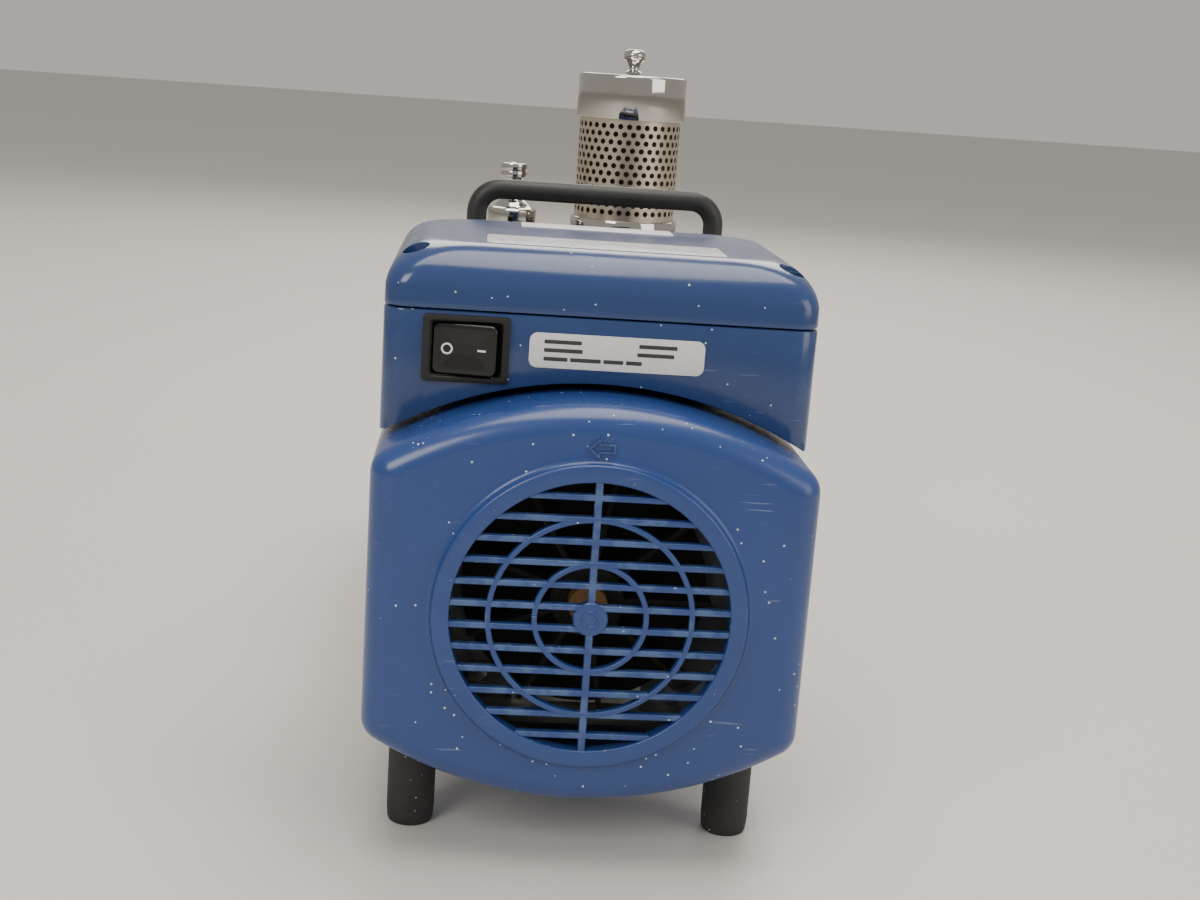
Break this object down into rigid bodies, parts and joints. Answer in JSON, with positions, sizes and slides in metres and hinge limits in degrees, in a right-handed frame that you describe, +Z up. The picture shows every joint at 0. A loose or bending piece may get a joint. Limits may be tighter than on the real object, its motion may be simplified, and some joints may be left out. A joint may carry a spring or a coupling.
{
  "type": "rotary vane vacuum pump",
  "caption": "Benchtop rotary vane vacuum pump with fan-cooled motor, electrical box, carrying handle, gas inlet and exhaust mist filter, on rubber feet.",
  "frame": {"origin": "on the surface it stands on, below the middle of its bounding box", "axes": "+X to the right seen from the fan end, +Y from the fan end to the pump end, +Z up"},
  "size_m": [0.1664, 0.46, 0.3116],
  "materials": {
    "cowl_plastic": "glossy mid blue moulding with dust and fine scratches",
    "box_plastic": "glossy blue moulding",
    "screw_steel": "zinc plated, dull",
    "switch_black": "black, satin frame and glossy rocker",
    "label_foil": "printed silver-white film",
    "black_plastic": "black moulding",
    "fan_plastic": "dark, dusty",
    "capacitor_can": "drawn aluminium can",
    "terminal_plastic": "cream moulding",
    "motor_casting": "cast, grey",
    "electrical_steel": "laminated steel",
    "copper_wire": "enamelled copper wire",
    "shaft_steel": "turned, a little rusty at the fan end",
    "bearing_steel": "ground",
    "hub_metal": "machined",
    "spider_rubber": "red elastomer",
    "case_casting": "painted dark grey",
    "handle_black": "black coated round bar",
    "seal_rubber": "moulded",
    "pump_iron": "machined grey iron",
    "bolt_black": "black oxide",
    "vane_composite": "carbon composite",
    "spring_steel": "spring wire and strip",
    "brass": "machined brass",
    "clear_glass": "clear",
    "ring_steel": "turned",
    "chrome": "polished plating with fine pits",
    "sleeve_steel": "perforated sheet, beige tint",
    "filter_fleece": "pressed fleece",
    "foot_rubber": "black rubber"
  },
  "bodies": {
    "housing": {"fan_cowl": "cowl_plastic", "terminal_box": "box_plastic", "box_cover": "box_plastic", "housing_screws": "screw_steel", "switch_housing": "switch_black", "rating_label": "label_foil", "cover_labels": "label_foil", "mains_inlet": "black_plastic", "run_capacitor": "capacitor_can", "terminal_block": "terminal_plastic", "motor_frame": "motor_casting", "rear_shield": "motor_casting", "front_shield": "motor_casting", "tie_bolts": "screw_steel", "stator_core": "electrical_steel", "stator_windings": "copper_wire", "motor_bearings": "bearing_steel", "lantern": "case_casting", "carry_handle": "handle_black", "pump_flange": "case_casting", "shaft_seal": "seal_rubber", "lv_stator": "pump_iron", "middle_plate": "pump_iron", "hv_stator": "pump_iron", "end_plate": "pump_iron", "module_bolts": "bolt_black", "valve_stop": "spring_steel", "inlet_duct": "pump_iron", "inlet_valve_spring": "spring_steel", "oil_case": "case_casting", "case_gasket": "seal_rubber", "case_bolts": "bolt_black", "sight_glass": "clear_glass", "sight_ring": "ring_steel", "oil_plugs": "brass", "inlet_fitting": "chrome", "filter_base": "chrome", "filter_sleeve": "sleeve_steel", "filter_element": "filter_fleece", "filter_cap": "chrome", "foot_bracket": "screw_steel", "rubber_feet": "foot_rubber", "foot_screws": "screw_steel"},
    "rotor_line": {"motor_shaft": "shaft_steel", "rotor_core": "electrical_steel", "cooling_fan": "fan_plastic", "motor_hub": "hub_metal", "coupling_spider": "spider_rubber", "pump_hub": "hub_metal", "pump_rotor": "pump_iron", "vane_springs": "spring_steel"},
    "rocker": {"switch_rocker": "switch_black"},
    "vane_hv_a": {"hv_vane_a": "vane_composite"},
    "vane_hv_b": {"hv_vane_b": "vane_composite"},
    "vane_lv_a": {"lv_vane_a": "vane_composite"},
    "vane_lv_b": {"lv_vane_b": "vane_composite"},
    "exhaust_leaf": {"valve_leaf": "spring_steel"},
    "suckback_valve": {"inlet_valve": "brass"},
    "ballast": {"ballast_knob": "black_plastic"},
    "filter_nut": {"filter_knob": "chrome"}
  },
  "joints": [
    {"name": "switch_rock", "type": "hinge", "parent": "housing", "child": "rocker", "pos_m": [-0.0509, -0.1964, 0.19455], "axis": [0, 0, 1], "range_deg": [0, 18]},
    {"name": "shaft_spin", "type": "hinge", "parent": "housing", "child": "rotor_line", "pos_m": [0, 0, 0.102], "axis": [0, 1, 0], "continuous": true},
    {"name": "hv_vane_a_slide", "type": "slide", "parent": "rotor_line", "child": "vane_hv_a", "axis": [1, 0, 0], "range_m": [0, 0.004]},
    {"name": "hv_vane_b_slide", "type": "slide", "parent": "rotor_line", "child": "vane_hv_b", "axis": [-1, 0, 0], "range_m": [0, 0.004]},
    {"name": "lv_vane_a_slide", "type": "slide", "parent": "rotor_line", "child": "vane_lv_a", "axis": [1, 0, 0], "range_m": [0, 0.004]},
    {"name": "lv_vane_b_slide", "type": "slide", "parent": "rotor_line", "child": "vane_lv_b", "axis": [-1, 0, 0], "range_m": [0, 0.004]},
    {"name": "exhaust_leaf_lift", "type": "slide", "parent": "housing", "child": "exhaust_leaf", "axis": [0, 0, 1], "range_m": [0, 0.0015], "stiffness_N_per_m": 100},
    {"name": "inlet_valve_lift", "type": "slide", "parent": "housing", "child": "suckback_valve", "axis": [0, 0, 1], "range_m": [0, 0.0055], "stiffness_N_per_m": 60, "deforming": ["inlet_valve_spring"]},
    {"name": "ballast_turn", "type": "hinge", "parent": "housing", "child": "ballast", "pos_m": [-0.038, 0.084, 0.2012], "axis": [0, 0, 1], "range_deg": [0, 180]},
    {"name": "filter_nut_turn", "type": "hinge", "parent": "housing", "child": "filter_nut", "pos_m": [0.0335, 0.145, 0.2977], "axis": [0, 0, 1], "range_deg": [0, 720]}
  ]
}
